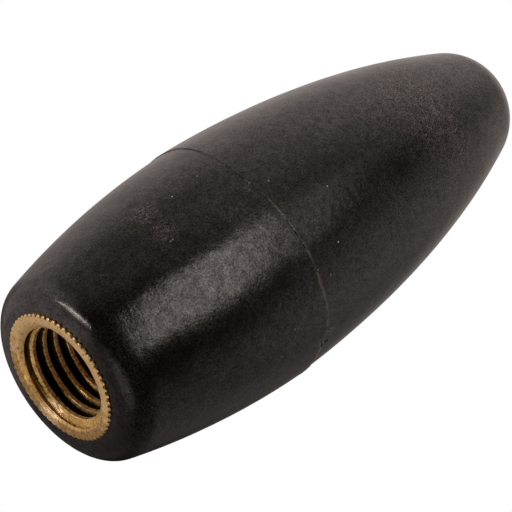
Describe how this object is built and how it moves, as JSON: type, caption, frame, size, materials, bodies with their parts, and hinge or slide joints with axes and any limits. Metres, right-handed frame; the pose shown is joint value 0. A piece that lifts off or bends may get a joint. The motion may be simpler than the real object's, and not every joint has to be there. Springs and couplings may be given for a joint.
{
  "type": "lever knob",
  "caption": "Slender black lever knob, widest a third of the way up, with a rounded nose and a knurled brass bush moulded into its wide end to screw onto a lever.",
  "frame": {"origin": "centre of the brass bush's end face, which is the plane the knob stands on", "axes": "+Z along the knob's axis from the threaded end to the rounded nose; the knob is round, so +X only gives the angle from which its sides are counted"},
  "size_m": [0.028, 0.028, 0.073],
  "materials": {
    "moulded_black": "satin moulded surface, dulled and dusty from handling",
    "turned_brass": "turned and tapped, toned and speckled with brown oxide"
  },
  "bodies": {
    "root": {"knob_body": "moulded_black", "threaded_insert": "turned_brass"}
  },
  "joints": []
}
